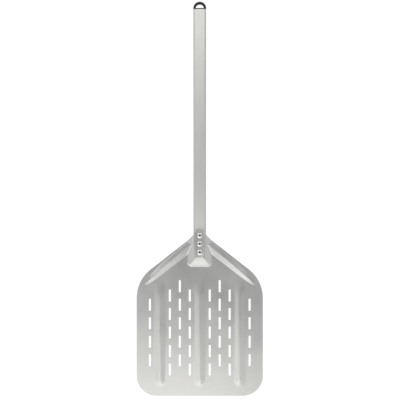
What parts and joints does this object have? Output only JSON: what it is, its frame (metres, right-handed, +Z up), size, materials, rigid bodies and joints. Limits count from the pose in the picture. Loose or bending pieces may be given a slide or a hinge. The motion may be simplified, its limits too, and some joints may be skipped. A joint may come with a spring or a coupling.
{
  "type": "pizza peel",
  "caption": "Long-handled perforated pizza peel: pressed sheet blade with slots and stiffening ribs, flat oval tube handle riveted under a hood, and an end plug with a hanging loop.",
  "frame": {"origin": "on the surface the peel lies on, under the middle of its overall width and length", "axes": "+Y along the handle from the blade towards the hanging loop, +Z up from the surface, +X across the blade to the right"},
  "size_m": [0.3, 0.9274, 0.0722],
  "materials": {
    "blade_aluminium": "satin",
    "handle_aluminium": "satin anodised",
    "rivet_aluminium": "bright",
    "mandrel_steel": "dull, broken end",
    "black_plastic": "satin moulded"
  },
  "bodies": {
    "root": {"blade": "blade_aluminium", "handle_tube": "handle_aluminium", "rivet_front": "rivet_aluminium", "rivet_middle": "rivet_aluminium", "rivet_rear": "rivet_aluminium", "mandrel_front": "mandrel_steel", "mandrel_middle": "mandrel_steel", "mandrel_rear": "mandrel_steel", "hanging_plug": "black_plastic"}
  },
  "joints": []
}
